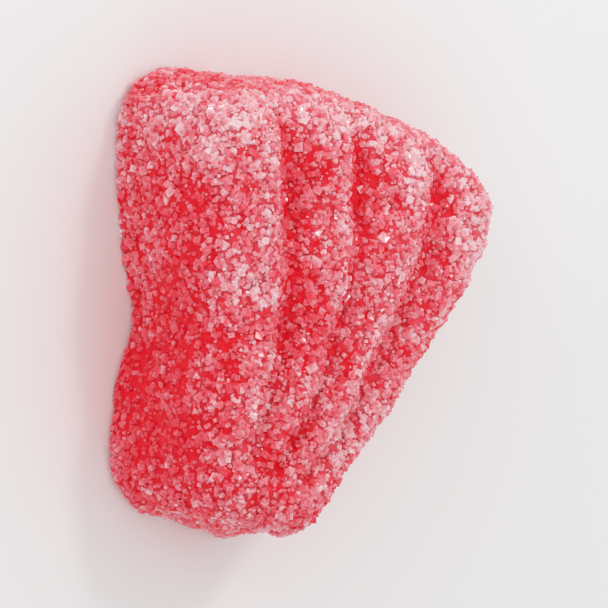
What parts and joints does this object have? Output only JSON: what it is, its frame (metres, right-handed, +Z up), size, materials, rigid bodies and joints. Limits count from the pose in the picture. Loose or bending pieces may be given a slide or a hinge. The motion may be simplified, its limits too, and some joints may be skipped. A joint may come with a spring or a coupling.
{
  "type": "sour gummy wedge",
  "caption": "Sugar-coated red jelly sweet in the shape of a fruit wedge, with a flat back, a ribbed face, a curved rim and a blunt tip.",
  "frame": {"origin": "on the flat back, under the middle of the wedge", "axes": "+Z up out of the ribbed face, +Y from the blunt tip to the curved rim, +X to the right seen from above with the rim away"},
  "size_m": [0.0288, 0.033, 0.0129],
  "materials": {
    "sugared_jelly": "translucent red jelly under a coat of loose sour sugar crystals"
  },
  "bodies": {
    "root": {"gummy_wedge": "sugared_jelly"}
  },
  "joints": []
}
